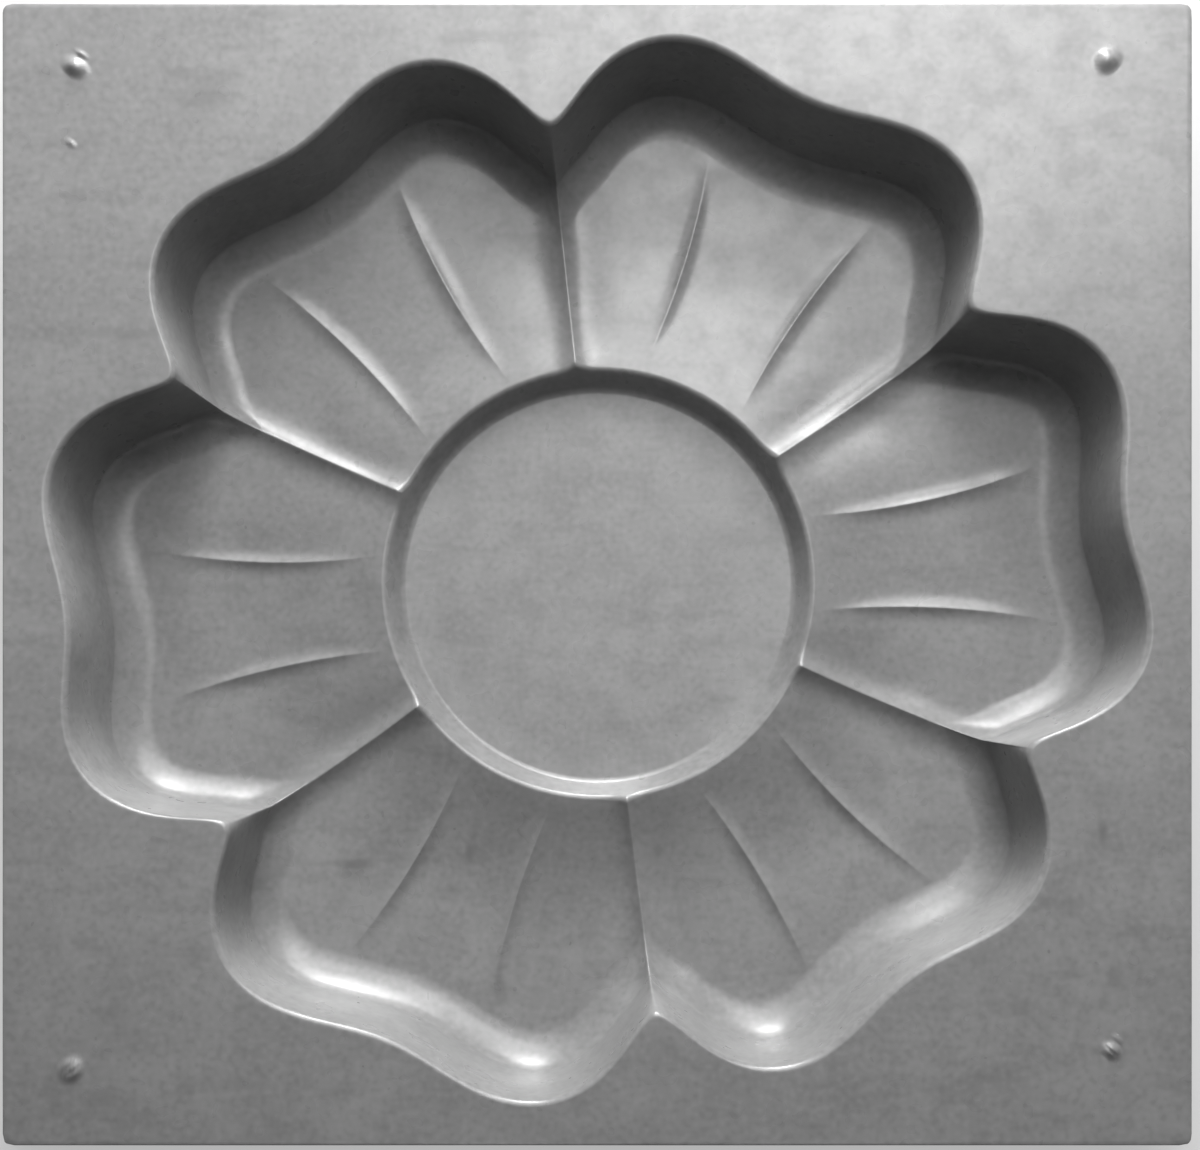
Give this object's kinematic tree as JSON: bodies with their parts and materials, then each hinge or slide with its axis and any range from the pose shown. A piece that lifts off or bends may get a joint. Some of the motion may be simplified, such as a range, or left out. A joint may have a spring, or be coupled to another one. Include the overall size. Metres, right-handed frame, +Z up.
{
  "type": "concrete path mould",
  "caption": "Rectangular vacuum-formed plastic mould with a recessed flower, veined petals and a deeper round middle, for casting a stepping stone.",
  "frame": {"origin": "middle of the rectangle that the sheet covers, at the level of the surface it rests on", "axes": "+X along the long side, +Y along the short side, +Z up out of the open side"},
  "size_m": [0.4, 0.384, 0.047],
  "materials": {
    "formed_plastic": "satin"
  },
  "bodies": {
    "root": {"mould_sheet": "formed_plastic"}
  },
  "joints": []
}
